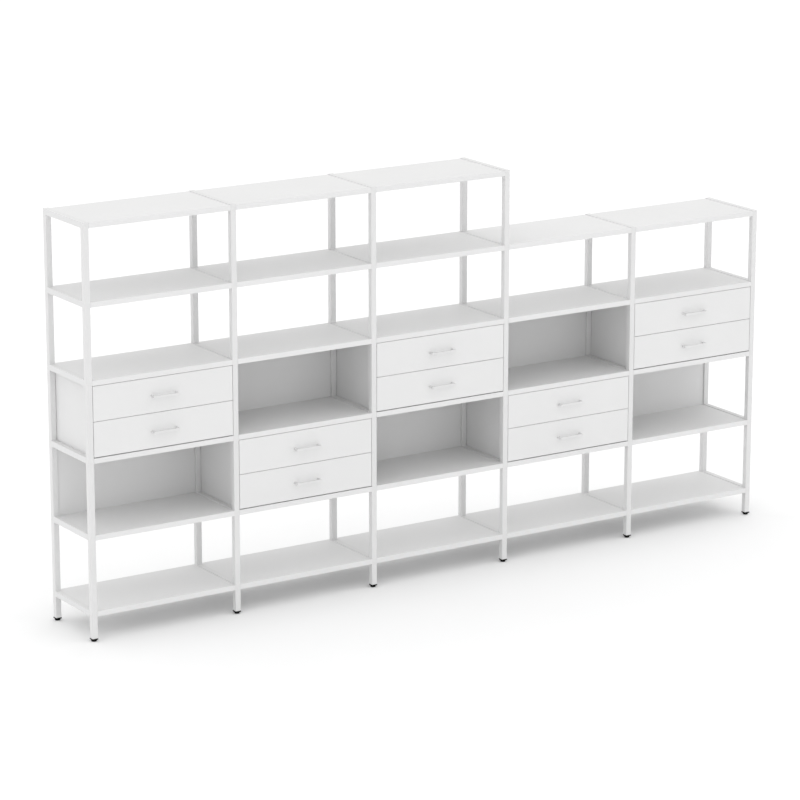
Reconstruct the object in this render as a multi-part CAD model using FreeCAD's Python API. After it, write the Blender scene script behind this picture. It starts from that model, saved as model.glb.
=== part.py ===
import FreeCAD, Part
import os

# Modular shelving: welded steel ladder frames stand in a row, and boards span between them.
# The tall section is three bays wide and the low section two. Some bays hold a pair of drawers
# in their own case, others a plain back panel.
# Millimetres. +X runs along the row, the open front faces -Y, +Z is up. The origin is on the
# floor, in the middle of the whole unit's width and depth.

os.makedirs("parts", exist_ok=True)

V = FreeCAD.Vector
X_AXIS, Y_AXIS, Z_AXIS = V(1, 0, 0), V(0, 1, 0), V(0, 0, 1)

# ---- Driving dimensions: the row of frames -------------------------------------------------
tall_bays = 3
low_bays = 2
tall_levels = 6
low_levels = 5
bay_pitch = 771.0            # from one frame to the next
depth = 400.0                # over the front and back posts
tier_pitch = 370.0           # from one shelf to the next
floor_to_shelf = 121.5       # floor to the underside of the lowest shelf
lower_box_tier = 2           # the tiers that hold the drawer cases and the backed boxes
upper_box_tier = 3

# Square tube of the posts and rails
tube = 28.0
tube_wall = 1.5
tube_corner = 1.2
rail_proud = 3.0             # rail tops stand this much above the shelves

# Plug-in feet
foot_height = 14.5
foot_flange = 6.0
foot_overhang = 1.0          # the flange stands this far out of the post on every side
foot_top_diameter = 29.0
foot_base_diameter = 24.5
foot_edge_radius = 1.5
foot_plug_length = 20.0
foot_plug_clearance = 0.2

# Shelf boards and the steel pins that carry them on the rails
shelf_thickness = 25.0
shelf_end_gap = 0.25
board_edge_radius = 1.0
pin_diameter = 8.0
pin_grip = 24.0              # length of a pin inside a board's end
pin_to_face = 88.0           # from the front or back face to a pin
pin_clearance = 0.1

# Back panels
back_thickness = 10.0
back_inset = 8.0             # behind the inner face of the back posts
back_side_gap = 0.8

# Drawer cases
case_thickness = 16.0
case_side_gap = 1.5
case_front_gap = 1.0         # from the drawer fronts to the case sides

# Drawer fronts
front_thickness = 18.0
front_side_gap = 2.2
front_top_gap = 2.0
front_middle_gap = 2.0
front_bottom_gap = 4.5

# Drawer boxes
box_board = 12.0
box_rear_gap = 12.0          # from the box to the case's back panel
box_height = 120.0
box_lift = 18.0              # from a front's lower edge to the box's lower edge
bottom_thickness = 5.0
bottom_lift = 10.0
groove_depth = 6.0
groove_clearance = 0.2

# Runners: a steel channel on the case side, a nylon glide on the drawer side
runner_space = 13.0          # from the case side to the drawer side
channel_height = 32.0
channel_wall = 1.2
channel_side_gap = 0.5       # from the channel's flanges to the drawer side
channel_front_gap = 3.0      # behind the case side's front edge
channel_rear_gap = 8.0       # in front of the case's back panel
pad_length = 10.0
glide_bar_height = 18.0
glide_clearance = 0.3
drawer_travel = 250.0
stop_clearance = 0.5

# Bar handles and their screws
handle_spacing = 128.0
handle_bar_height = 10.0
handle_bar_depth = 8.0       # also the width of its legs
handle_projection = 30.0
handle_corner_radius = 3.0
handle_edge_radius = 0.8
handle_drop = 3.0            # below the middle of the front
screw_diameter = 4.0
screw_head_diameter = 8.0
screw_head_height = 2.5
screw_grip = 9.0
screw_clearance = 0.2

# ---- Where things stand ---------------------------------------------------------------------
bays = tall_bays + low_bays
width = bays * bay_pitch + tube
y_front = (handle_projection - depth - foot_overhang) / 2
y_back = y_front + depth
y_back_post = y_back - tube
y_panel = y_back_post + back_inset            # front face of every back panel
y_inside = y_front + front_thickness          # back of every drawer front
y_case = y_inside + case_front_gap
y_channel = y_case + channel_front_gap
y_box_end = y_panel - box_rear_gap
z_pad_gap = glide_bar_height / 2 + glide_clearance


def drawer_tier(bay):
    """The drawers alternate between the two boxed tiers from bay to bay."""
    return lower_box_tier if bay % 2 else upper_box_tier


def open_tier(bay):
    """The boxed tier that has only a back panel."""
    return upper_box_tier if bay % 2 else lower_box_tier


def levels_in_bay(bay):
    """Number of shelves in a bay."""
    return tall_levels if bay < tall_bays else low_levels


def levels_on_frame(frame):
    """Number of rails on a frame: it serves the taller of its two bays."""
    return tall_levels if frame <= tall_bays else low_levels


def frame_x(frame):
    """Left face of a frame."""
    return frame * bay_pitch - width / 2


def bay_sides(bay):
    """The facing post sides that bound a bay."""
    return frame_x(bay) + tube, frame_x(bay + 1)


def shelf_top(level):
    """Height of a shelf's top face, counting levels from 1."""
    return floor_to_shelf + shelf_thickness + (level - 1) * tier_pitch


def tier_heights(tier):
    """Floor and ceiling of the space above a level."""
    return shelf_top(tier), shelf_top(tier + 1) - shelf_thickness


# ---- Shape helpers ----------------------------------------------------------------------------
def block(x_range, y_range, z_range):
    """Box between the given limits, whichever way round each pair is."""
    low = V(min(x_range), min(y_range), min(z_range))
    high = V(max(x_range), max(y_range), max(z_range))
    size = high - low
    return Part.makeBox(size.x, size.y, size.z, low)


def rod(diameter, start, end):
    """Round bar from one point to another."""
    return Part.makeCylinder(diameter / 2, (end - start).Length, start, end - start)


def eased(shape, axis, radius):
    """Rounds the shape's straight edges that run along the axis."""
    edges = [edge for edge in shape.Edges if abs(edge.tangentAt(edge.FirstParameter).dot(axis)) > 0.999]
    return shape.makeFillet(radius, edges)


def inset(limits, amount):
    """The same span, shorter by the amount at both ends."""
    return limits[0] + amount, limits[1] - amount


def export(node, solids):
    """Writes one node, made of one or more separate solids."""
    shape = solids[0] if len(solids) == 1 else Part.makeCompound(solids)
    shape.exportStep("parts/" + node + ".step")


# ---- Ladder frames ----------------------------------------------------------------------------
def post(frame, y_low):
    """Square tube with a closed top, standing on its foot."""
    x_range = (frame_x(frame), frame_x(frame) + tube)
    y_range = (y_low, y_low + tube)
    z_top = shelf_top(levels_on_frame(frame)) + rail_proud
    shell = eased(block(x_range, y_range, (foot_height, z_top)), Z_AXIS, tube_corner)
    cavity = block(inset(x_range, tube_wall), inset(y_range, tube_wall), (foot_height, z_top - tube_wall))
    return shell.cut(cavity)


def neighbours(frame, level):
    """Whether a shelf meets the frame on its left and on its right at this level."""
    left = frame > 0 and level <= levels_in_bay(frame - 1)
    right = frame < bays and level <= levels_in_bay(frame)
    return left, right


def pin_rows():
    """Distances of the pins along the depth."""
    return y_front + pin_to_face, y_back - pin_to_face


def pin_height(level):
    return shelf_top(level) - shelf_thickness / 2


def pin_span(frame, level):
    """Ends of a pin: in the boards' ends, or against the tube's far wall where there is no board."""
    left, right = neighbours(frame, level)
    reach = shelf_end_gap + pin_grip
    x_low = frame_x(frame) - reach if left else frame_x(frame) + tube_wall
    x_high = frame_x(frame) + tube + reach if right else frame_x(frame) + tube - tube_wall
    return x_low, x_high


def pin(frame, level, y, play=0.0):
    """One pin, or its hole when it is given some play."""
    x_low, x_high = pin_span(frame, level)
    z = pin_height(level)
    return rod(pin_diameter + 2 * play, V(x_low, y, z), V(x_high, y, z))


def rail(frame, level):
    """Square tube between the posts, drilled for its pins."""
    x_range = (frame_x(frame), frame_x(frame) + tube)
    y_range = (y_front + tube, y_back_post)
    z_top = shelf_top(level) + rail_proud
    z_range = (z_top - tube, z_top)
    shell = eased(block(x_range, y_range, z_range), Y_AXIS, tube_corner)
    cavity = block(inset(x_range, tube_wall), y_range, inset(z_range, tube_wall))
    holes = [pin(frame, level, y, pin_clearance) for y in pin_rows()]
    return shell.cut([cavity] + holes)


def upright(frame):
    rails = [rail(frame, level) for level in range(1, levels_on_frame(frame) + 1)]
    return [post(frame, y_front), post(frame, y_back_post)] + rails


def foot(frame, y_low):
    """Moulded foot: square plug inside the post, square flange under it, tapered round base."""
    x_range = (frame_x(frame), frame_x(frame) + tube)
    y_range = (y_low, y_low + tube)
    centre = V(sum(x_range) / 2, sum(y_range) / 2, 0)
    z_flange = foot_height - foot_flange
    base = Part.makeCone(foot_base_diameter / 2, foot_top_diameter / 2, z_flange, centre, Z_AXIS)
    floor_rim = [edge for edge in base.Edges if edge.BoundBox.ZMax < foot_edge_radius]
    base = base.makeFillet(foot_edge_radius, floor_rim)
    flange_x, flange_y = inset(x_range, -foot_overhang), inset(y_range, -foot_overhang)
    flange = eased(block(flange_x, flange_y, (z_flange, foot_height)), Z_AXIS, tube_corner)
    hollow = tube_wall + foot_plug_clearance
    plug_z = (foot_height, foot_height + foot_plug_length)
    plug = block(inset(x_range, hollow), inset(y_range, hollow), plug_z)
    return base.fuse([flange, plug]).removeSplitter()


# ---- Boards -------------------------------------------------------------------------------------
def shelf(bay, level):
    """Board between two frames, with its front and back edges flush with the posts."""
    x_range = inset(bay_sides(bay), shelf_end_gap)
    z_top = shelf_top(level)
    board = block(x_range, (y_front, y_back), (z_top - shelf_thickness, z_top))
    board = eased(board, X_AXIS, board_edge_radius)
    frames = (bay, bay + 1)
    holes = [pin(frame, level, y, pin_clearance) for frame in frames for y in pin_rows()]
    return board.cut(holes)


def back_panel(bay, tier):
    """Panel between the back posts, from one shelf to the next."""
    x_range = inset(bay_sides(bay), back_side_gap)
    return block(x_range, (y_panel, y_panel + back_thickness), tier_heights(tier))


def case_inner(bay):
    """Facing sides of the drawer case."""
    return inset(bay_sides(bay), case_side_gap + case_thickness)


def drawer_case(bay, tier):
    """Two side boards and the back panel behind them."""
    outer = inset(bay_sides(bay), case_side_gap)
    inner = case_inner(bay)
    z_range = tier_heights(tier)
    sides = [block(pair, (y_case, y_panel), z_range) for pair in zip(outer, inner)]
    return sides + [back_panel(bay, tier)]


# ---- Drawers -------------------------------------------------------------------------------------
def front_heights(tier, row):
    """Lower and upper edge of a drawer front. Row 0 is the lower drawer, row 1 the upper one."""
    z_floor, z_ceiling = tier_heights(tier)
    gaps = front_bottom_gap + front_middle_gap + front_top_gap
    height = (z_ceiling - z_floor - gaps) / 2
    z_low = z_floor + front_bottom_gap + row * (height + front_middle_gap)
    return z_low, z_low + height


def bay_middle(bay):
    return sum(bay_sides(bay)) / 2


def box_half_width(bay):
    """From the bay's middle to the outer face of a drawer side."""
    inner = case_inner(bay)
    return (inner[1] - inner[0]) / 2 - runner_space


def beside(bay, side, near, far):
    """Span between two distances from the bay's middle, on the left (-1) or the right (+1)."""
    return bay_middle(bay) + side * near, bay_middle(bay) + side * far


def runner_height(tier, row):
    """Height of a runner's middle, which is the drawer side's middle."""
    return front_heights(tier, row)[0] + box_lift + box_height / 2


def channel(bay, tier, row, side):
    """Fixed channel, open towards the drawer, with a bearing pad above and below its mouth."""
    wall = box_half_width(bay) + runner_space
    open_edge = box_half_width(bay) + channel_side_gap
    y_range = (y_channel, y_panel - channel_rear_gap)
    middle = runner_height(tier, row)
    z_range = (middle - channel_height / 2, middle + channel_height / 2)
    outside = block(beside(bay, side, open_edge, wall), y_range, z_range)
    hollow_x = beside(bay, side, open_edge, wall - channel_wall)
    y_mouth = (y_channel, y_channel + pad_length)
    pad_faces = (middle - z_pad_gap, middle + z_pad_gap)
    mouth = block(hollow_x, y_mouth, pad_faces)
    hollow = block(hollow_x, (y_mouth[1], y_range[1]), inset(z_range, channel_wall))
    return outside.cut([mouth, hollow])


def glide(bay, tier, row, side):
    """Nylon bar on the drawer side. Its tall heel runs in the channel and stops at the pads."""
    face = box_half_width(bay)
    tip = face + runner_space - channel_wall - glide_clearance
    x_range = beside(bay, side, face, tip)
    middle = runner_height(tier, row)
    y_stop = y_channel + pad_length + drawer_travel + stop_clearance
    bar = block(x_range, (y_inside, y_stop),
                (middle - glide_bar_height / 2, middle + glide_bar_height / 2))
    heel_half = channel_height / 2 - channel_wall - glide_clearance
    heel = block(x_range, (y_stop, y_box_end), (middle - heel_half, middle + heel_half))
    return bar.fuse(heel).removeSplitter()


def bottom_panel(bay, tier, row, play=0.0):
    """Drawer bottom, let into the sides and the front, or its groove when it is given some play."""
    reach = box_half_width(bay) - box_board + groove_depth - groove_clearance + play
    z_low = front_heights(tier, row)[0] + box_lift + bottom_lift
    y_start = y_inside - groove_depth + groove_clearance - play
    return block(beside(bay, 1, -reach, reach), (y_start, y_box_end + play),
                 (z_low - play, z_low + bottom_thickness + play))


def handle_posts(bay):
    """Where the handle's two legs stand along the row."""
    return bay_middle(bay) - handle_spacing / 2, bay_middle(bay) + handle_spacing / 2


def handle_height(tier, row):
    return sum(front_heights(tier, row)) / 2 - handle_drop


def screw(x, z, play=0.0):
    """Handle screw from inside the drawer, or its hole when it is given some play."""
    shank = rod(screw_diameter + 2 * play, V(x, y_inside, z), V(x, y_front - screw_grip - play, z))
    head = rod(screw_head_diameter, V(x, y_inside, z), V(x, y_inside + screw_head_height, z))
    return shank if play else shank.fuse(head).removeSplitter()


def drawer_front(bay, tier, row):
    """Front board, grooved for the drawer bottom and drilled for the handle."""
    x_range = inset(bay_sides(bay), front_side_gap)
    board = block(x_range, (y_front, y_inside), front_heights(tier, row))
    board = board.makeFillet(board_edge_radius, board.Edges)
    holes = [screw(x, handle_height(tier, row), screw_clearance) for x in handle_posts(bay)]
    return board.cut([bottom_panel(bay, tier, row, groove_clearance)] + holes)


def drawer_box(bay, tier, row):
    """Two grooved sides, a back that stands on the bottom panel, and that panel."""
    z_low = front_heights(tier, row)[0] + box_lift
    z_range = (z_low, z_low + box_height)
    y_range = (y_inside, y_box_end)
    face = box_half_width(bay)
    groove = bottom_panel(bay, tier, row, groove_clearance)
    boards = []
    for side in (-1, 1):
        board = block(beside(bay, side, face - box_board, face), y_range, z_range)
        boards.append(eased(board, Y_AXIS, board_edge_radius).cut(groove))
    z_back = z_low + bottom_lift + bottom_thickness
    inner = face - box_board
    back = block(beside(bay, 1, -inner, inner), (y_range[1] - box_board, y_range[1]), (z_back, z_range[1]))
    return boards + [back, bottom_panel(bay, tier, row)]


def handle(bay, tier, row):
    """Square-edged bar on two legs of the same section, with a blind hole in each leg."""
    z = handle_height(tier, row)
    z_range = (z - handle_bar_height / 2, z + handle_bar_height / 2)
    x_range = inset(handle_posts(bay), -handle_bar_depth / 2)
    y_bar = y_front - handle_projection
    bow = eased(block(x_range, (y_bar, y_front), z_range), Z_AXIS, handle_corner_radius)
    square_ends = block(x_range, (y_front - handle_corner_radius - handle_edge_radius, y_front), z_range)
    bow = bow.fuse(square_ends).removeSplitter()
    finger_space = block(inset(x_range, handle_bar_depth), (y_bar + handle_bar_depth, y_front), z_range)
    bow = bow.cut(finger_space)
    rims = [edge for edge in bow.Edges
            if edge.BoundBox.ZLength < 0.01 and edge.BoundBox.YMin < y_front - 0.01]
    bow = bow.makeFillet(handle_edge_radius, rims)
    return bow.cut([screw(x, z, screw_clearance) for x in handle_posts(bay)])


# ---- The nodes ------------------------------------------------------------------------------------
frames = range(bays + 1)
for frame in frames:
    export("upright_%d" % (frame + 1), upright(frame))

export("feet", [foot(frame, y) for frame in frames for y in (y_front, y_back_post)])

export("shelf_pins", [pin(frame, level, y)
                      for frame in frames
                      for level in range(1, levels_on_frame(frame) + 1)
                      for y in pin_rows()])

export("open_box_backs", [back_panel(bay, open_tier(bay)) for bay in range(bays)])

export("runner_channels", [channel(bay, drawer_tier(bay), row, side)
                           for bay in range(bays)
                           for row in (0, 1)
                           for side in (-1, 1)])

for bay in range(bays):
    tier = drawer_tier(bay)
    export("bay_%d_shelves" % (bay + 1), [shelf(bay, level) for level in range(1, levels_in_bay(bay) + 1)])
    export("drawer_case_%d" % (bay + 1), drawer_case(bay, tier))
    for row, place in enumerate(("lower", "upper")):
        drawer = "drawer_%d_%s_" % (bay + 1, place)
        handle_screws = [screw(x, handle_height(tier, row)) for x in handle_posts(bay)]
        export(drawer + "front", [drawer_front(bay, tier, row)])
        export(drawer + "box", drawer_box(bay, tier, row))
        export(drawer + "glides", [glide(bay, tier, row, side) for side in (-1, 1)])
        export(drawer + "handle", [handle(bay, tier, row)] + handle_screws)
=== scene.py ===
import math

import bmesh
import bpy
from mathutils import Matrix, Vector


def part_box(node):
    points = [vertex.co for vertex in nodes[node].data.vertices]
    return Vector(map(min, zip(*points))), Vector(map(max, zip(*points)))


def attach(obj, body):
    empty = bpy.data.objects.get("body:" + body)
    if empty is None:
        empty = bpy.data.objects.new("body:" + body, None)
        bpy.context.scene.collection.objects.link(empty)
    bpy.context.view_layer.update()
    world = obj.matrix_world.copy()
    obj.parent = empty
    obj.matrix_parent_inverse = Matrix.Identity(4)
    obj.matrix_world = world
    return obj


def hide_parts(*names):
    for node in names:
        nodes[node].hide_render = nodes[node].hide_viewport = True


# Looks of a white modular shelving unit: ladder frames of powder-coated square tube, boards and
# drawers faced with white melamine, satin aluminium bar handles and black moulded feet.
# Lengths are in millimetres, as in the part's source, up to the last step of each piece.

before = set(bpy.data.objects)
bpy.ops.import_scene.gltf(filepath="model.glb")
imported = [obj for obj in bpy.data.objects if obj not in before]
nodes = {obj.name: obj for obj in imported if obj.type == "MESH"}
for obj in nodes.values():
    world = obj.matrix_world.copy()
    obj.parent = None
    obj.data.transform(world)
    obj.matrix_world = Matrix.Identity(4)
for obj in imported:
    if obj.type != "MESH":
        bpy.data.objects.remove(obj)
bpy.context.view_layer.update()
scene = bpy.context.scene
MM = 0.001

# ---- Dimensions of the unit ----------------------------------------------------------------
BAYS = 5
TALL_BAYS = 3
TALL_LEVELS = 6
LOW_LEVELS = 5
BAY_PITCH = 771.0
TIER_PITCH = 370.0
TUBE = 28.0
TUBE_CORNER = 1.2
FIRST_SHELF_TOP = 146.5
SHELF_THICKNESS = 25.0
RAIL_PROUD = 3.0
Y_FRONT = -185.5                      # front faces of posts, shelves and drawer fronts
Y_BACK = 214.5
Y_INSIDE = -167.5                     # backs of the drawer fronts
Y_CASE = -166.5                       # front edges of the drawer cases
Y_PANEL_REAR = 204.5                  # rear faces of the back panels
ROWS = ("lower", "upper")


def frame_x(number):
    """Left face of a ladder frame, counting from 0."""
    return number * BAY_PITCH - (BAYS * BAY_PITCH + TUBE) / 2


def shelf_top(level):
    return FIRST_SHELF_TOP + (level - 1) * TIER_PITCH


def node_box(node):
    """Lowest and highest corners of a solid, in millimetres."""
    low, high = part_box(node)
    return Vector(low) / MM, Vector(high) / MM


# ---- Camera -----------------------------------------------------------------------------------
IMAGE_SIDE = 800                      # pixels
FOCAL_PIXELS = 3460.0
SENSOR_WIDTH = 36.0
CAMERA_PLACE = Vector((-9.0055, -13.8905, 5.207))
CAMERA_YAW = math.radians(32.61)      # from +Y towards +X
CAMERA_PITCH = math.radians(14.73)    # below the horizon


def make_camera():
    """A long lens well above the unit, off its tall end."""
    lens = bpy.data.cameras.new("camera")
    lens.sensor_width = SENSOR_WIDTH
    lens.lens = FOCAL_PIXELS / IMAGE_SIDE * SENSOR_WIDTH
    lens.clip_end = 200.0
    camera = bpy.data.objects.new("camera", lens)
    scene.collection.objects.link(camera)
    level = math.cos(CAMERA_PITCH)
    ahead, sideways = math.cos(CAMERA_YAW) * level, math.sin(CAMERA_YAW) * level
    forward = Vector((sideways, ahead, -math.sin(CAMERA_PITCH)))
    camera.location = CAMERA_PLACE
    camera.rotation_mode = "QUATERNION"
    camera.rotation_quaternion = forward.to_track_quat("-Z", "Y")
    scene.camera = camera


# ---- Node helpers -----------------------------------------------------------------------------
def add(tree, kind, sockets=(), **settings):
    """Adds a shader node, sets its options, and sets or joins its input sockets."""
    node = tree.nodes.new("ShaderNode" + kind)
    for option, value in settings.items():
        setattr(node, option, value)
    for socket, value in dict(sockets).items():
        if isinstance(value, bpy.types.NodeSocket):
            tree.links.new(value, node.inputs[socket])
        else:
            node.inputs[socket].default_value = value
    return node


def maths(tree, operation, first, second=0.0, third=0.0):
    """One arithmetic step on numbers that vary over the surface."""
    return add(tree, "Math", {0: first, 1: second, 2: third}, operation=operation).outputs[0]


def new_group(name, inputs, outputs):
    """Starts a node group with named inputs (name, kind, value) and outputs (name, kind)."""
    group = bpy.data.node_groups.new(name, "ShaderNodeTree")
    for label, kind, value in inputs:
        socket = group.interface.new_socket(label, in_out="INPUT", socket_type="NodeSocket" + kind)
        socket.default_value = value
    for label, kind in outputs:
        group.interface.new_socket(label, in_out="OUTPUT", socket_type="NodeSocket" + kind)
    given = group.nodes.new("NodeGroupInput").outputs
    results = group.nodes.new("NodeGroupOutput").inputs
    return group, given, results


def place_group(tree, group, **sockets):
    """Places a group with its own values and gives its outputs."""
    named = {name.capitalize(): value for name, value in sockets.items()}
    return add(tree, "Group", named, node_tree=group).outputs


# ---- Effects shared by the materials --------------------------------------------------------
def make_fine_relief():
    """Small relief of a coat, a pressed film or a brushed metal, with the roughness it gives."""
    tree, given, results = new_group(
        "fine_relief",
        [("Grain", "Float", 1.0), ("Stretch", "Vector", (1, 1, 1)), ("Detail", "Float", 2.0),
         ("Smooth", "Float", 0.4), ("Rough", "Float", 0.6)],
        [("Height", "Float"), ("Roughness", "Float")])
    place = add(tree, "TexCoord").outputs["Object"]
    stretched = add(tree, "VectorMath", {0: place, 1: given["Stretch"]}, operation="MULTIPLY").outputs[0]
    scale = maths(tree, "DIVIDE", 1 / MM, given["Grain"])
    noise = add(tree, "TexNoise", {"Vector": stretched, "Scale": scale, "Detail": given["Detail"]}).outputs[0]
    spread = add(tree, "MapRange", {"Value": noise, "From Min": 0.3, "From Max": 0.7,
                                    "To Min": given["Smooth"], "To Max": given["Rough"]}).outputs[0]
    tree.links.new(noise, results["Height"])
    tree.links.new(spread, results["Roughness"])
    return tree


def make_shade_drift():
    """Slow drift of a colour towards a slightly different shade."""
    tree, given, results = new_group(
        "shade_drift",
        [("Colour", "Color", (1, 1, 1, 1)), ("Shade", "Color", (1, 1, 1, 1)), ("Patch", "Float", 200.0)],
        [("Colour", "Color")])
    place = add(tree, "TexCoord").outputs["Object"]
    scale = maths(tree, "DIVIDE", 1 / MM, given["Patch"])
    noise = add(tree, "TexNoise", {"Vector": place, "Scale": scale, "Detail": 3.0}).outputs[0]
    part = add(tree, "MapRange", {"Value": noise, "From Min": 0.35, "From Max": 0.65}).outputs[0]
    mixed = add(tree, "Mix", {"Factor": part, 6: given["Colour"], 7: given["Shade"]}, data_type="RGBA")
    tree.links.new(mixed.outputs[2], results["Colour"])
    return tree


def make_band_seam():
    """Glue line of an edge band: a hairline at the band's thickness from the faces that carry one."""
    tree, given, results = new_group(
        "band_seam",
        [("Position", "Vector", (0, 0, 0)), ("Low", "Vector", (-9, -9, -9)), ("High", "Vector", (9, 9, 9)),
         ("Band", "Float", 1.0), ("Width", "Float", 0.15)],
        [("Line", "Float")])
    over = add(tree, "VectorMath", {0: given["Position"], 1: given["Low"]}, operation="SUBTRACT").outputs[0]
    under = add(tree, "VectorMath", {0: given["High"], 1: given["Position"]}, operation="SUBTRACT").outputs[0]
    nearer = add(tree, "VectorMath", {0: over, 1: under}, operation="MINIMUM").outputs[0]
    parts = add(tree, "SeparateXYZ", {0: nearer}).outputs
    nearest = maths(tree, "MINIMUM", maths(tree, "MINIMUM", parts[0], parts[1]), parts[2])
    away = maths(tree, "ABSOLUTE", maths(tree, "SUBTRACT", maths(tree, "DIVIDE", nearest, MM), given["Band"]))
    line = add(tree, "MapRange", {"Value": away, "From Min": 0.0, "From Max": given["Width"],
                                  "To Min": 1.0, "To Max": 0.0}, interpolation_type="SMOOTHSTEP").outputs[0]
    tree.links.new(line, results["Line"])
    return tree


def make_dust_and_top_shade():
    """A trace of dust on the faces that look up, with painted shade that darkens them as well."""
    tree, given, results = new_group(
        "dust_and_top_shade",
        [("Colour", "Color", (1, 1, 1, 1)), ("Dust and shade", "Color", (0.40, 0.39, 0.37, 1)),
         ("Amount", "Float", 0.05)],
        [("Colour", "Color")])
    facing = add(tree, "NewGeometry").outputs["Normal"]
    upward = add(tree, "SeparateXYZ", {0: facing}).outputs[2]
    lying = add(tree, "MapRange", {"Value": upward, "From Min": 0.8, "From Max": 1.0}).outputs[0]
    place = add(tree, "TexCoord").outputs["Object"]
    noise = add(tree, "TexNoise", {"Vector": place, "Scale": 60.0, "Detail": 6.0}).outputs[0]
    specks = add(tree, "MapRange", {"Value": noise, "From Min": 0.4, "From Max": 0.75,
                                    "To Min": 0.7}).outputs[0]
    # Darkening of the faces that look up: partly dust, partly painted shade.
    cover = maths(tree, "MULTIPLY", maths(tree, "MULTIPLY", lying, specks), given["Amount"])
    mixed = add(tree, "Mix", {"Factor": cover, 6: given["Colour"], 7: given["Dust and shade"]}, data_type="RGBA")
    tree.links.new(mixed.outputs[2], results["Colour"])
    return tree


fine_relief = make_fine_relief()
shade_drift = make_shade_drift()
band_seam = make_band_seam()
dust_and_top_shade = make_dust_and_top_shade()


# ---- Materials --------------------------------------------------------------------------------
def grey(value):
    return (value, value, value, 1.0)


WHITE = grey(0.740)                   # boards
WHITE_SHADE = grey(0.730)
FRONT = grey(0.744)
FRONT_SHADE = grey(0.734)
# Back panels and drawer cases: the boards' white made a little darker, as painted shade for the deep boxes
# they line.
PANEL_PAINTED_SHADE = grey(0.720)
PANEL_PAINTED_SHADE_DRIFT = grey(0.710)
PAINT = grey(0.714)                   # powder coat
PAINT_SHADE = grey(0.702)
GLUE_LINE = grey(0.42)
BOARD_GLOSS = 0.10                    # specular levels of matt melamine and matt powder coat
PAINT_GLOSS = 0.08


def finish(name, colour, shade, patch, grain, gloss_range, depth, stretch=(1, 1, 1), detail=2.0,
           metallic=0.0, specular=BOARD_GLOSS, top_dust_and_shade=0.0, banded=None):
    """A finish with drifting shade, fine relief and, if asked, dust with painted shade on the faces that look
    up, and the glue line of an edge band.

    patch, grain and depth are in millimetres: the size of the shade's patches, the size of the relief's
    grain and how deep it is. gloss_range holds the lowest and highest roughness.
    banded is (low, high, size): the faces that carry a band, in metres, measured in the object's own
    place, or from its corner where size gives its whole extent."""
    material = bpy.data.materials.new(name)
    material.use_nodes = True
    tree = material.node_tree
    shader = tree.nodes["Principled BSDF"]
    shader.inputs["Metallic"].default_value = metallic
    shader.inputs["Specular IOR Level"].default_value = specular
    tone = place_group(tree, shade_drift, colour=colour, shade=shade, patch=patch)["Colour"]
    # Painted shade and dust on the faces that look up.
    if top_dust_and_shade:
        tone = place_group(tree, dust_and_top_shade, colour=tone, amount=top_dust_and_shade)["Colour"]
    smooth, rough = gloss_range
    relief = place_group(tree, fine_relief, grain=grain, stretch=stretch, detail=detail,
                         smooth=smooth, rough=rough)
    height = relief["Height"]
    if banded:
        low, high, size = banded
        coordinates = add(tree, "TexCoord").outputs
        position = coordinates["Object"]
        if size:
            whole = {0: coordinates["Generated"], 1: size}
            position = add(tree, "VectorMath", whole, operation="MULTIPLY").outputs[0]
        line = place_group(tree, band_seam, position=position, low=low, high=high)["Line"]
        tone = add(tree, "Mix", {"Factor": line, 6: tone, 7: GLUE_LINE}, data_type="RGBA").outputs[2]
        height = maths(tree, "SUBTRACT", height, line)
    bump = add(tree, "Bump", {"Height": height, "Strength": 1.0, "Distance": depth * MM})
    tree.links.new(tone, shader.inputs["Base Color"])
    tree.links.new(relief["Roughness"], shader.inputs["Roughness"])
    tree.links.new(bump.outputs[0], shader.inputs["Normal"])
    return material


FAR = 9.0                             # metres, past every face: no band on that side
FRONT_SIZE = (0.7386, 0.018, 0.16825)             # metres
DRAWER_BOX_SIZE = (0.682, 0.3558, 0.120)

# The dust amounts also paint shade on the faces that look up.
frame_paint = finish("frame_paint", PAINT, PAINT_SHADE, patch=260.0, grain=1.3, gloss_range=(0.40, 0.56),
                     depth=0.05, specular=PAINT_GLOSS, top_dust_and_shade=0.09)
shelf_board = finish("shelf_board", WHITE, WHITE_SHADE, patch=340.0, grain=0.9, gloss_range=(0.46, 0.58),
                     depth=0.03, top_dust_and_shade=0.09,
                     banded=((-FAR, Y_FRONT * MM, -FAR), (FAR, Y_BACK * MM, FAR), None))
panel_board = finish("panel_board", PANEL_PAINTED_SHADE, PANEL_PAINTED_SHADE_DRIFT, patch=300.0, grain=0.9, gloss_range=(0.46, 0.58),
                     depth=0.03, banded=((-FAR, Y_CASE * MM, -FAR), (FAR, FAR, FAR), None))
front_board = finish("front_board", FRONT, FRONT_SHADE, patch=320.0, grain=0.9, gloss_range=(0.44, 0.56),
                     depth=0.03,
                     banded=((0, -FAR, 0), (FRONT_SIZE[0], FAR, FRONT_SIZE[2]), FRONT_SIZE))
drawer_board = finish("drawer_board", grey(0.72), grey(0.70), patch=180.0, grain=0.7,
                      gloss_range=(0.5, 0.66), depth=0.05, stretch=(1, 0.12, 1), top_dust_and_shade=0.05,
                      banded=((-FAR, -FAR, -FAR), (FAR, FAR, DRAWER_BOX_SIZE[2]), DRAWER_BOX_SIZE))
runner_paint = finish("runner_paint", grey(0.72), grey(0.70), patch=90.0, grain=1.4,
                      gloss_range=(0.32, 0.44), depth=0.03, specular=0.25)
glide_nylon = finish("glide_nylon", (0.74, 0.72, 0.66, 1), (0.71, 0.68, 0.61, 1), patch=60.0, grain=1.1,
                     gloss_range=(0.34, 0.48), depth=0.03, specular=0.3)
pad_rubber = finish("pad_rubber", (0.46, 0.46, 0.45, 1), (0.42, 0.42, 0.41, 1), patch=8.0, grain=0.5,
                    gloss_range=(0.5, 0.65), depth=0.02)
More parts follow.
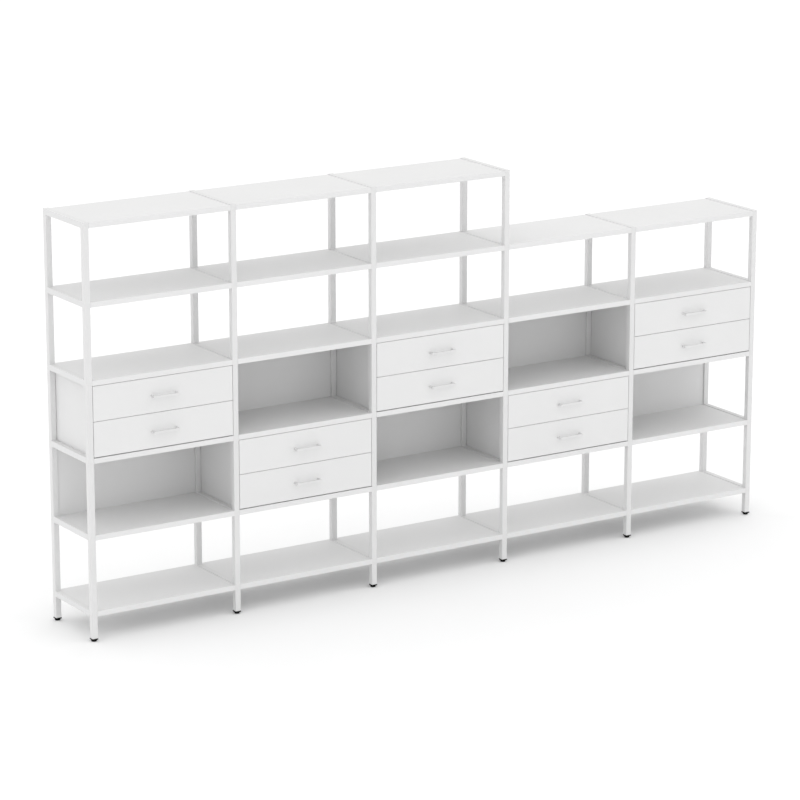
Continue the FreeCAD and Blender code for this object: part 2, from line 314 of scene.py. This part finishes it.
foot_plastic = finish("foot_plastic", grey(0.008), grey(0.012), patch=12.0, grain=0.5,
                      gloss_range=(0.55, 0.75), depth=0.05, specular=0.04)
handle_metal = finish("handle_metal", grey(0.80), grey(0.77), patch=40.0, grain=0.35,
                      gloss_range=(0.50, 0.60), depth=0.01, stretch=(0.03, 1, 1), detail=4.0,
                      metallic=1.0, specular=0.5)
pin_steel = finish("pin_steel", (0.66, 0.67, 0.69, 1), (0.70, 0.68, 0.62, 1), patch=9.0, grain=0.3,
                   gloss_range=(0.28, 0.42), depth=0.01, metallic=1.0, specular=0.5)

NODE_FINISHES = (("upright", frame_paint), ("shelf_pins", pin_steel), ("runner_channels", runner_paint),
                 ("open_box_backs", panel_board), ("drawer_case", panel_board), ("_shelves", shelf_board),
                 ("_front", front_board), ("_box", drawer_board), ("_glides", glide_nylon),
                 ("_handle", handle_metal), ("feet", foot_plastic))


def dress_nodes():
    """Gives every carried-over solid its finish."""
    for name, node in nodes.items():
        chosen = next(material for mark, material in NODE_FINISHES if mark in name)
        node.data.materials.clear()
        node.data.materials.append(chosen)


# ---- Form helpers -----------------------------------------------------------------------------
SMOOTH_ANGLE = math.radians(32.0)


def facing(point, direction):
    """A place whose own Z axis points along the direction."""
    turn = Vector(direction).to_track_quat("Z", "Y").to_matrix().to_4x4()
    return Matrix.Translation(Vector(point)) @ turn


UPRIGHT = Matrix.Identity(4)


def circle(radius, steps, centre=(0.0, 0.0)):
    turns = [2 * math.pi * step / steps for step in range(steps)]
    return [(centre[0] + radius * math.cos(turn), centre[1] + radius * math.sin(turn)) for turn in turns]


def arc(centre, radius, start, end, steps):
    """Points of an arc between two angles in degrees."""
    turns = [math.radians(start + (end - start) * step / steps) for step in range(steps + 1)]
    return [(centre[0] + radius * math.cos(turn), centre[1] + radius * math.sin(turn)) for turn in turns]


def rounded_square(side, radius, centre=(0.0, 0.0), steps=4):
    half = side / 2 - radius
    corners = ((half, half, 0), (-half, half, 90), (-half, -half, 180), (half, -half, 270))
    return [point for x, y, turn in corners
            for point in arc((centre[0] + x, centre[1] + y), radius, turn, turn + 90, steps)]


def ring(shape, points, height, place):
    """Corners of a closed outline at a height."""
    return [shape.verts.new((place @ Vector((x, y, height))) * MM) for x, y in points]


def rim_edges(shape, corners):
    pairs = zip(corners, corners[1:] + corners[:1])
    return [shape.edges.get(pair) or shape.edges.new(pair) for pair in pairs]


def wall(shape, low, high, material=0):
    """Faces between two outlines with the same number of corners."""
    for first, second, third, fourth in zip(low, low[1:] + low[:1], high[1:] + high[:1], high):
        shape.faces.new((first, second, third, fourth)).material_index = material


def cap(shape, corners, material=0):
    shape.faces.new(corners).material_index = material


def pocketed_cap(shape, corners, height, place, pockets, material=0):
    """Closes an outline with a face that has pockets: (mouth, floor, depth) each."""
    edges = rim_edges(shape, corners)
    for mouth_points, floor_points, depth in pockets:
        mouth = ring(shape, mouth_points, height, place)
        floor = ring(shape, floor_points, height - depth, place)
        edges += rim_edges(shape, mouth)
        wall(shape, mouth, floor, material)
        cap(shape, floor, material)
    filled = bmesh.ops.triangle_fill(shape, use_beauty=True, edges=edges)
    for face in filled["geom"]:
        if isinstance(face, bmesh.types.BMFace):
            face.material_index = material


def turned(shape, profile, place, steps=24, material=0):
    """Turned form from (radius, height) pairs, closed flat at both ends. Returns its last ring."""
    rings = [ring(shape, circle(radius, steps), height, place) for radius, height in profile]
    for low, high in zip(rings, rings[1:]):
        wall(shape, low, high, material)
    cap(shape, rings[0], material)
    return rings[-1]


def prism(shape, outline, low, high, place=UPRIGHT, material=0):
    """Straight form with the outline as its section. Returns its two outlines."""
    lower, upper = ring(shape, outline, low, place), ring(shape, outline, high, place)
    wall(shape, lower, upper, material)
    cap(shape, lower, material)
    cap(shape, upper, material)
    return lower, upper


def ease_edges(shape, edges, radius, segments=3):
    bmesh.ops.bevel(shape, geom=list(edges), offset=radius * MM, segments=segments, profile=0.5,
                    affect="EDGES", clamp_overlap=True)


def make_piece(name, shape, body, finishes, replaced=()):
    """Turns a collected form into a piece of the unit that rides on its body."""
    bmesh.ops.recalc_face_normals(shape, faces=shape.faces)
    mesh = bpy.data.meshes.new(name)
    shape.to_mesh(mesh)
    shape.free()
    for material in finishes:
        mesh.materials.append(material)
    mesh.polygons.foreach_set("use_smooth", [True] * len(mesh.polygons))
    mesh.set_sharp_from_angle(angle=SMOOTH_ANGLE)
    piece = bpy.data.objects.new(name, mesh)
    scene.collection.objects.link(piece)
    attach(piece, body)
    if replaced:
        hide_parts(*replaced)
    return piece


def cross(reach, half_width):
    """Outline of a cross recess."""
    quarter = [(half_width, reach), (half_width, half_width), (reach, half_width)]
    points = []
    for turn in range(4):
        angle = -math.pi / 2 * turn
        points += [(x * math.cos(angle) - y * math.sin(angle), x * math.sin(angle) + y * math.cos(angle))
                   for x, y in quarter]
    return points


# A pan head's outline, in parts of its radius and height
PAN_OUTLINE = ((1.0, 0.0), (1.0, 0.35), (0.93, 0.62), (0.78, 0.85), (0.62, 1.0))


def pan_screw(shape, place, head=8.0, height=2.5, shank=4.0, length=0.0, material=0):
    """Pan-head screw with a cross recess; its head stands on the place's own XY plane."""
    radius = head / 2
    profile = [(shank / 2, -length), (shank / 2, 0.0)] if length else []
    profile += [(across * radius, up * height) for across, up in PAN_OUTLINE]
    top = turned(shape, profile, place, material=material)
    recess = cross(0.46 * radius, 0.12 * radius), cross(0.30 * radius, 0.08 * radius), 0.55 * height
    pocketed_cap(shape, top, height, place, [recess], material)


def flat_screw(shape, place, head, proud, material=0):
    """Countersunk or disc fastener that stands a hair above its board, with a shallow cross recess."""
    radius = head / 2
    profile = [(radius, 0.0), (radius, 0.5 * proud), (0.93 * radius, proud)]
    top = turned(shape, profile, place, material=material)
    recess = cross(0.5 * radius, 0.11 * radius), cross(0.4 * radius, 0.08 * radius), 0.9 * proud
    pocketed_cap(shape, top, proud, place, [recess], material)


# ---- Bar handles with their screws --------------------------------------------------------
HANDLE_SPACING = 128.0
HANDLE_BAR = 8.0                      # the bar's depth and its legs' width
HANDLE_HEIGHT = 10.0
HANDLE_PROJECTION = 30.0
HANDLE_CORNER = 3.0
HANDLE_INNER_CORNER = 1.2
HANDLE_EASE = 0.8
HANDLE_SCREW_LENGTH = 26.0


def make_handle(drawer):
    """Square bar handle whose legs stand on the drawer front, with a screw through the front in each."""
    low, high = node_box(drawer + "_handle")
    middle, height = (low.x + high.x) / 2, (low.z + high.z) / 2
    reach = HANDLE_SPACING / 2 + HANDLE_BAR / 2
    inner = reach - HANDLE_BAR
    inner_turn = inner - HANDLE_INNER_CORNER
    y_bar = Y_FRONT - HANDLE_PROJECTION
    y_inner_turn = y_bar + HANDLE_BAR + HANDLE_INNER_CORNER
    outline = [(-reach, Y_FRONT)]
    outline += arc((-reach + HANDLE_CORNER, y_bar + HANDLE_CORNER), HANDLE_CORNER, 180, 270, 8)
    outline += arc((reach - HANDLE_CORNER, y_bar + HANDLE_CORNER), HANDLE_CORNER, 270, 360, 8)
    outline += [(reach, Y_FRONT), (inner, Y_FRONT)]
    outline += arc((inner_turn, y_inner_turn), HANDLE_INNER_CORNER, 0, -90, 4)
    outline += arc((-inner_turn, y_inner_turn), HANDLE_INNER_CORNER, -90, -180, 4)
    outline += [(-inner, Y_FRONT)]
    shape = bmesh.new()
    place = Matrix.Translation((middle, 0, height))
    rims = prism(shape, outline, -HANDLE_HEIGHT / 2, HANDLE_HEIGHT / 2, place)
    free = [edge for rim in rims for edge in rim_edges(shape, rim)
            if min(corner.co.y for corner in edge.verts) < (Y_FRONT - 0.01) * MM]
    ease_edges(shape, free, HANDLE_EASE)
    for side in (-1, 1):
        screw_place = facing((middle + side * HANDLE_SPACING / 2, Y_INSIDE, height), (0, 1, 0))
        pan_screw(shape, screw_place, length=HANDLE_SCREW_LENGTH, material=1)
    make_piece(drawer + "_bar_handle", shape, drawer, [handle_metal, pin_steel],
               [drawer + "_handle"])


# ---- Nylon glides with counterbored screws ---------------------------------------------------
GLIDE_THICKNESS = 11.5
GLIDE_BAR_HALF = 9.0
GLIDE_HEEL_HALF = 14.5
GLIDE_HEEL_Y = 97.0                   # where the taller heel begins
GLIDE_EASE = 0.8
GLIDE_SCREWS = (-140.0, -20.0, 80.0, 160.0)
GLIDE_SCREW_HEAD = 6.0
GLIDE_SCREW_HEIGHT = 2.0
COUNTERBORE = 3.6                     # radius
COUNTERBORE_DEPTH = 6.0


def make_glides(drawer):
    """A nylon bar on each side of a drawer box, with a taller heel at its rear end."""
    low, high = node_box(drawer + "_glides")
    middle = (low.z + high.z) / 2
    shape = bmesh.new()
    for side, x_outer in ((-1, low.x), (1, high.x)):
        place = facing((x_outer, 0, middle), (side, 0, 0))
        along = place.to_3x3().inverted() @ Vector((0, 1, 0))
        rise = place.to_3x3().inverted() @ Vector((0, 0, 1))

        def flat(y, z):
            spot = along * y + rise * z
            return spot.x, spot.y

        outline = [flat(y, z) for y, z in (
            (Y_INSIDE, -GLIDE_BAR_HALF), (GLIDE_HEEL_Y, -GLIDE_BAR_HALF), (GLIDE_HEEL_Y, -GLIDE_HEEL_HALF),
            (high.y, -GLIDE_HEEL_HALF), (high.y, GLIDE_HEEL_HALF), (GLIDE_HEEL_Y, GLIDE_HEEL_HALF),
            (GLIDE_HEEL_Y, GLIDE_BAR_HALF), (Y_INSIDE, GLIDE_BAR_HALF))]
        back = ring(shape, outline, -GLIDE_THICKNESS, place)
        front = ring(shape, outline, 0.0, place)
        wall(shape, back, front)
        cap(shape, back)
        pockets = []
        for y in GLIDE_SCREWS:
            mouth = circle(COUNTERBORE, 20, flat(y, 0.0))
            pockets.append((mouth, mouth, COUNTERBORE_DEPTH))
            screw_place = place @ Matrix.Translation((*flat(y, 0.0), -COUNTERBORE_DEPTH))
            pan_screw(shape, screw_place, head=GLIDE_SCREW_HEAD, height=GLIDE_SCREW_HEIGHT, material=1)
        pocketed_cap(shape, front, 0.0, place, pockets)
        ease_edges(shape, rim_edges(shape, front), GLIDE_EASE, 2)
    make_piece(drawer + "_nylon_glides", shape, drawer, [glide_nylon, pin_steel],
               [drawer + "_glides"])


# ---- Fastenings of a drawer box ---------------------------------------------------------------
BOX_BOARD = 12.0
CAM_LIFTS = (30.0, 92.0)              # above the box's lower edge
CAM_SETBACK = 26.0                    # behind the drawer front
CAM_HEAD = 15.0
CAM_PROUD = 0.5
BOX_SCREW_LIFTS = (26.0, 98.0)
BOX_SCREW_HEAD = 7.0
BOX_SCREW_PROUD = 0.3


def make_box_fixings(drawer):
    """Cam discs inside the box's front corners and screw heads outside its back corners."""
    low, high = node_box(drawer + "_box")
    shape = bmesh.new()
    for side, x_outer in ((-1, low.x), (1, high.x)):
        for lift in CAM_LIFTS:
            spot = (x_outer - side * BOX_BOARD, Y_INSIDE + CAM_SETBACK, low.z + lift)
            flat_screw(shape, facing(spot, (-side, 0, 0)), CAM_HEAD, CAM_PROUD)
        for lift in BOX_SCREW_LIFTS:
            spot = (x_outer, high.y - BOX_BOARD / 2, low.z + lift)
            flat_screw(shape, facing(spot, (side, 0, 0)), BOX_SCREW_HEAD, BOX_SCREW_PROUD)
    make_piece(drawer + "_box_fixings", shape, drawer, [pin_steel])


# ---- Moulded feet -------------------------------------------------------------------------------
FOOT_HEIGHT = 14.5
FOOT_FLANGE = 6.0
FOOT_FLANGE_SIDE = 30.0
FOOT_TOP = 14.5                       # radii of the tapered base
FOOT_BASE = 12.25
FOOT_BOTTOM_EASE = ((1.3, 0.0), (0.5, 0.25))      # inside the base's radius, and height
FOOT_PAD_SIDE = (0.9, 2.4)            # heights of the wear pad's straight side
FOOT_GROOVE = 0.35                    # depth of the groove above the pad
FOOT_GROOVE_FLOOR = ((2.5, 2.6), (3.0, 3.0))      # height on the taper, and height of the ring
FOOT_BODY = ((3.1, 3.2), (7.6, 7.6), (8.2, 8.1))  # likewise, from the groove up to the flange
FOOT_FLANGE_EASE = 0.5
FOOT_PLUG_SIDE = 24.6
FOOT_PLUG_CORNER = 0.8
FOOT_PLUG_LENGTH = 20.0


def make_feet():
    """Feet with a round tapered base, a grooved wear pad, a square flange and a plug."""
    shape = bmesh.new()
    z_flange = FOOT_HEIGHT - FOOT_FLANGE
    slope = (FOOT_TOP - FOOT_BASE) / z_flange

    def side(z):
        return FOOT_BASE + slope * z

    profile = [(FOOT_BASE - inside, z) for inside, z in FOOT_BOTTOM_EASE]
    profile += [(side(z), z) for z in FOOT_PAD_SIDE]
    profile += [(side(taper_z) - FOOT_GROOVE, z) for taper_z, z in FOOT_GROOVE_FLOOR]
    profile += [(side(taper_z), z) for taper_z, z in FOOT_BODY]
    profile += [(FOOT_TOP, z_flange)]
    flange = rounded_square(FOOT_FLANGE_SIDE, TUBE_CORNER)
    plug = rounded_square(FOOT_PLUG_SIDE, FOOT_PLUG_CORNER)
    for number in range(BAYS + 1):
        for y in (Y_FRONT + TUBE / 2, Y_BACK - TUBE / 2):
            place = Matrix.Translation((frame_x(number) + TUBE / 2, y, 0))
            cap(shape, turned(shape, profile, place, steps=40))
            lower_rim = prism(shape, flange, z_flange, FOOT_HEIGHT, place)[0]
            ease_edges(shape, rim_edges(shape, lower_rim), FOOT_FLANGE_EASE, 2)
            prism(shape, plug, FOOT_HEIGHT, FOOT_HEIGHT + FOOT_PLUG_LENGTH, place)
    make_piece("moulded_feet", shape, "frame", [foot_plastic], ["feet"])


# ---- Welds of the ladder frames -----------------------------------------------------------------
BEAD = 2.0                            # leg of the small fillet above and below each rail end
BEAD_STEP = 1.25
BEAD_END = 0.65                       # part of its leg that a bead has at its ends
BEAD_CURVE = ((0.0, 1.0), (0.3, 0.52), (0.52, 0.3), (1.0, 0.0))
BEAD_ROOT = 0.3                       # how far its root reaches into the tubes
RIPPLE = 0.16
RIPPLES = ((0.6, 2.4, 1.0), (0.4, 0.9, 2.0))      # share, turn for each step, part of the seed
FILL_INSET = 0.02
FILL_SINK = 0.1                       # how far a fill lies below the corner's round and into the rail
FILL_MARGIN = 0.6                     # kept free at the rail's lower and upper edges


def bead_leg(step, count, seed):
    """Leg of a bead at a step along it: tapered near its ends, and rippled."""
    fullness = BEAD_END + (1 - BEAD_END) * min(1.0, step / 2, (count - step) / 2)
    wave = sum(share * math.sin(pace * step + phase * seed) for share, pace, phase in RIPPLES)
    return BEAD * fullness * (1 + RIPPLE * wave)


def bead(shape, x_low, x_high, y_corner, y_way, z_corner, z_way, seed):
    """Rippled fillet along X in the corner between a post and a rail."""
    count = int((x_high - x_low) / BEAD_STEP)
    sections = []
    for step in range(count + 1):
        x = x_low + (x_high - x_low) * step / count
        leg = bead_leg(step, count, seed)
        points = [(a * leg, b * leg) for a, b in BEAD_CURVE]
        points.append((-BEAD_ROOT, -BEAD_ROOT))
        sections.append([shape.verts.new(Vector((x, y_corner + y_way * a, z_corner + z_way * b)) * MM)
                         for a, b in points])
    for low, high in zip(sections, sections[1:]):
        wall(shape, low, high)
    cap(shape, sections[0])
    cap(shape, sections[-1])


def flush_fill(shape, x, turn, y, way, z_range):
    """Fills the rounded corner of a post beside a rail's end, so that the sides run on flush."""
    radius = TUBE_CORNER - FILL_SINK
    x_round, y_round = x + turn * TUBE_CORNER, y - way * TUBE_CORNER
    x_side, y_rail = x + turn * FILL_INSET, y + way * FILL_SINK
    turns = [math.pi / 2 * step / 4 for step in range(5)]
    outline = [(x_round - turn * radius * math.sin(a), y_round + way * radius * math.cos(a)) for a in turns]
    outline += [(x_side, y_round), (x_side, y_rail), (x_round, y_rail)]
    prism(shape, outline, *z_range)


def make_welds(number):
    """Small fillets above and below the rails' ends, and the ground flush fills at their sides."""
    shape = bmesh.new()
    x_low, x_high = frame_x(number), frame_x(number) + TUBE
    x_beads = x_low + TUBE_CORNER, x_high - TUBE_CORNER
    levels = TALL_LEVELS if number <= TALL_BAYS else LOW_LEVELS
    for level in range(1, levels + 1):
        z_top = shelf_top(level) + RAIL_PROUD
        z_low = z_top - TUBE
        for y, way in ((Y_FRONT + TUBE, 1), (Y_BACK - TUBE, -1)):
            seed = level * 1.7 + number * 0.9 + way   # so that no two beads ripple alike
            bead(shape, *x_beads, y, way, z_low, -1, seed)
            if level < levels:
                bead(shape, *x_beads, y, way, z_top, 1, seed + 1)
            for x, turn in ((x_low, 1), (x_high, -1)):
                flush_fill(shape, x, turn, y, way, (z_low + FILL_MARGIN, z_top - FILL_MARGIN))
    make_piece("upright_%d_welds" % (number + 1), shape, "frame", [frame_paint])


# ---- Stop pads of the drawer cases and clips of the back panels ------------------------------
PAD_RADIUS = 4.0
PAD_THICKNESS = 0.8
PAD_OUTLINE = ((1.0, 0.0), (1.0, 0.45), (0.92, 0.85), (0.7, 1.0))       # parts of radius and thickness
PAD_INSET = 24.0                      # from a front's lower and upper edges
CASE_BOARD = 16.0
PANEL_REACH = 0.7                     # of a case's back panel past its side boards


def make_stop_pads(bay):
    """Thin round pads on the case's front edges, which the drawer fronts close against."""
    low, high = node_box("drawer_case_%d" % bay)
    board_middle = PANEL_REACH + CASE_BOARD / 2
    profile = [(across * PAD_RADIUS, up * PAD_THICKNESS) for across, up in PAD_OUTLINE]
    shape = bmesh.new()
    for row in ROWS:
        front_low, front_high = node_box("drawer_%d_%s_front" % (bay, row))
        for x in (low.x + board_middle, high.x - board_middle):
            for z in (front_low.z + PAD_INSET, front_high.z - PAD_INSET):
                cap(shape, turned(shape, profile, facing((x, Y_CASE, z), (0, -1, 0))))
    make_piece("drawer_case_%d_stop_pads" % bay, shape, "frame", [pad_rubber])


CLIP_WIDTH = 18.0
CLIP_LEG = 16.0
CLIP_FOOT = 9.0
CLIP_SHEET = 1.2
CLIP_BEND = 1.6
CLIP_INSET = 90.0                     # from the frames on either side
PANEL_SCREW_LIFT = 10.5               # from the board to the screw in the panel
PANEL_SCREW = {"head": 6.0, "height": 1.8}
BOARD_SCREW_SETBACK = 6.0             # from the panel to the screw in the board
BOARD_SCREW = {"head": 5.0, "height": 1.6}


def clip(shape, x, z, way):
    """Bent steel clip that holds a back panel to the board below it (way 1) or above it (way -1)."""
    outer = CLIP_BEND + CLIP_SHEET
    section = [(CLIP_FOOT, 0.0), (CLIP_FOOT, CLIP_SHEET)]
    section += arc((outer, outer), CLIP_BEND, 270, 180, 4)
    section += [(CLIP_SHEET, CLIP_LEG), (0.0, CLIP_LEG)]
    section += arc((outer, outer), outer, 180, 270, 4)
    sides = []
    for offset in (-CLIP_WIDTH / 2, CLIP_WIDTH / 2):
        corners = [Vector((x + offset, Y_PANEL_REAR + a, z + way * b)) for a, b in section]
        sides.append([shape.verts.new(corner * MM) for corner in corners])
    wall(shape, sides[0], sides[1])
    cap(shape, sides[0])
    cap(shape, sides[1])
    on_leg = x, Y_PANEL_REAR + CLIP_SHEET, z + way * PANEL_SCREW_LIFT
    on_foot = x, Y_PANEL_REAR + BOARD_SCREW_SETBACK, z + way * CLIP_SHEET
    pan_screw(shape, facing(on_leg, (0, 1, 0)), **PANEL_SCREW)
    pan_screw(shape, facing(on_foot, (0, 0, way)), **BOARD_SCREW)


def make_panel_clips(bay):
    """Four clips behind each of a bay's two back panels."""
    shape = bmesh.new()
    left, right = frame_x(bay - 1) + TUBE, frame_x(bay)
    for tier in (2, 3):
        for x in (left + CLIP_INSET, right - CLIP_INSET):
            clip(shape, x, shelf_top(tier), 1)
            clip(shape, x, shelf_top(tier + 1) - SHELF_THICKNESS, -1)
    make_piece("bay_%d_panel_clips" % bay, shape, "frame", [pin_steel])


# ---- Light and floor ----------------------------------------------------------------------------
HORIZON_LIGHT = 0.935                 # strength of the sky at the horizon
ZENITH_GAIN = 0.41                    # how much stronger it is straight above
FLOOR_COLOUR = grey(0.98)             # what the unit's light bounces off
SEEN_FLOOR_SHADED_COLOUR = grey(0.80)        # what the camera sees: darker than what the light bounces off, which paints the shadow deeper
FLOOR_HALF = 60.0                     # metres from the middle to each edge
PAINTED_FLOOR_GLOW = 0.132                    # painted glow that brings the floor up to white away from the unit
PAINTED_GLOW_START = 0.12                     # metres inside the unit's outline where the painted glow begins
PAINTED_GLOW_REACH = 0.17
HALF_LENGTH = (BAYS * BAY_PITCH + TUBE) / 2 * MM          # the unit's outline over its posts, in metres
HALF_DEPTH = (Y_BACK - Y_FRONT) / 2 * MM
MIDDLE_Y = (Y_BACK + Y_FRONT) / 2 * MM


def seen_rays(tree):
    """1 for rays that show the surroundings themselves, 0 for rays that carry their light."""
    path = add(tree, "LightPath").outputs
    mirrored = maths(tree, "MAXIMUM", path["Is Glossy Ray"], path["Is Transmission Ray"])
    return maths(tree, "MAXIMUM", path["Is Camera Ray"], mirrored)


def make_sky():
    """Soft white light from all round, a little stronger from above, and a white background."""
    world = bpy.data.worlds.new("studio")
    world.use_nodes = True
    tree = world.node_tree
    background = tree.nodes["Background"]
    background.inputs["Color"].default_value = grey(1.0)
    direction = add(tree, "TexCoord").outputs["Generated"]
    height = maths(tree, "MAXIMUM", add(tree, "SeparateXYZ", {0: direction}).outputs[2])
    dome = maths(tree, "MULTIPLY_ADD", height, ZENITH_GAIN, HORIZON_LIGHT)
    strength = add(tree, "Mix", {0: seen_rays(tree), 2: dome, 3: 1.0}, data_type="FLOAT").outputs[0]
    tree.links.new(strength, background.inputs["Strength"])
    scene.world = world


def make_floor():
    """A plain pale floor that keeps the unit's shadow, deepened near the unit as painted shadow, and fades to
    white away from it through a painted glow.
    """
    corners = [(x * FLOOR_HALF, y * FLOOR_HALF, 0) for x, y in ((-1, -1), (1, -1), (1, 1), (-1, 1))]
    mesh = bpy.data.meshes.new("floor")
    mesh.from_pydata(corners, [], [(0, 1, 2, 3)])
    floor = bpy.data.objects.new("floor", mesh)
    scene.collection.objects.link(floor)
    material = bpy.data.materials.new("floor")
    material.use_nodes = True
    tree = material.node_tree
    tree.nodes.clear()
    parts = add(tree, "SeparateXYZ", {0: add(tree, "NewGeometry").outputs["Position"]}).outputs
    # Painted glow: none near the unit, growing to full strength away from it.
    beyond_ends = maths(tree, "SUBTRACT", maths(tree, "ABSOLUTE", parts[0]), HALF_LENGTH)
    off_middle = maths(tree, "SUBTRACT", parts[1], MIDDLE_Y)
    beyond_sides = maths(tree, "SUBTRACT", maths(tree, "ABSOLUTE", off_middle), HALF_DEPTH)
    away = maths(tree, "ADD", maths(tree, "MAXIMUM", beyond_ends, beyond_sides), PAINTED_GLOW_START)
    fading = maths(tree, "EXPONENT", maths(tree, "DIVIDE", maths(tree, "MAXIMUM", away, 0.0), -PAINTED_GLOW_REACH))
    lift = maths(tree, "MULTIPLY", maths(tree, "SUBTRACT", 1.0, fading), PAINTED_FLOOR_GLOW)
    bounced = add(tree, "BsdfDiffuse", {"Color": FLOOR_COLOUR}).outputs[0]
    shown = add(tree, "BsdfDiffuse", {"Color": SEEN_FLOOR_SHADED_COLOUR}).outputs[0]
    painted_glow = add(tree, "Emission", {"Color": grey(1.0), "Strength": lift}).outputs[0]
    shown_with_painted_glow = add(tree, "AddShader", {0: shown, 1: painted_glow}).outputs[0]
    surface = add(tree, "MixShader", {0: seen_rays(tree), 1: bounced, 2: shown_with_painted_glow}).outputs[0]
    add(tree, "OutputMaterial", {"Surface": surface})
    mesh.materials.append(material)


# ---- The scene ------------------------------------------------------------------------------------
make_camera()
make_sky()
make_floor()
scene.view_settings.view_transform = "Standard"

dress_nodes()
make_feet()
for frame_number in range(BAYS + 1):
    make_welds(frame_number)
for bay_number in range(1, BAYS + 1):
    make_stop_pads(bay_number)
    make_panel_clips(bay_number)
    for row_name in ROWS:
        drawer_name = "drawer_%d_%s" % (bay_number, row_name)
        make_handle(drawer_name)
        make_glides(drawer_name)
        make_box_fixings(drawer_name)
